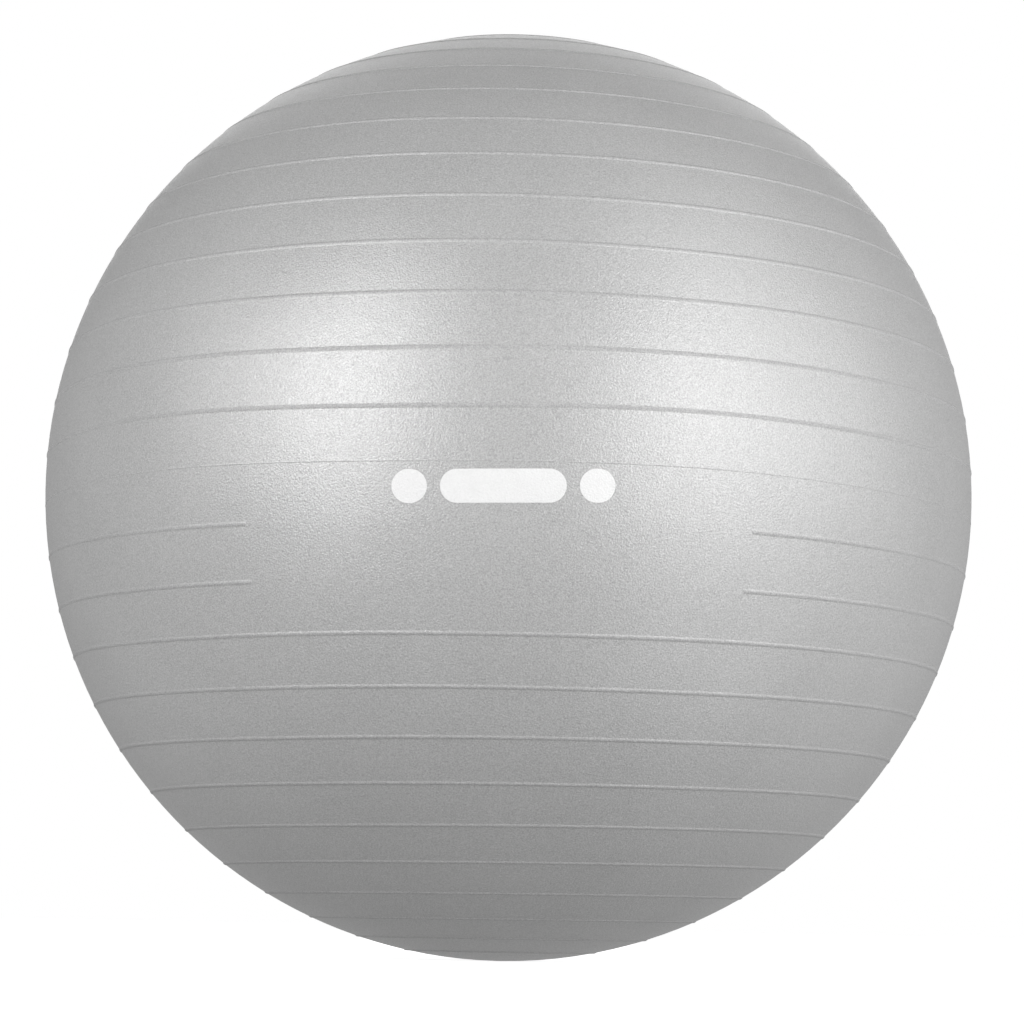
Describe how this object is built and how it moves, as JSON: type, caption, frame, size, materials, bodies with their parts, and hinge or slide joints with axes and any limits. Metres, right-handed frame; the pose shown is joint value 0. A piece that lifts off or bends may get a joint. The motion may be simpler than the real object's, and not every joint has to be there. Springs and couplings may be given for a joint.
{
  "type": "exercise ball",
  "caption": "Large inflatable exercise ball with raised grip ribs around it, a plain panel with a printed bar mark, and a push-in stopper in its air valve.",
  "frame": {"origin": "centre of the ball", "axes": "+Z along the axis that the ribs circle, towards the valve; the printed panel faces -Y"},
  "size_m": [0.65, 0.65, 0.6499],
  "materials": {
    "skin": "satin silver-grey soft PVC with a fine grain",
    "valve_seat": "satin grey soft PVC",
    "plug": "smooth white",
    "ink": "flat white screen ink"
  },
  "bodies": {
    "ball": {"ball_shell": "skin", "valve_seat": "valve_seat", "printed_mark": "ink"},
    "plug": {"valve_plug": "plug"}
  },
  "joints": [
    {"name": "plug_pull", "type": "slide", "parent": "ball", "child": "plug", "axis": [0, 0, 1], "range_m": [0, 0.025]}
  ]
}
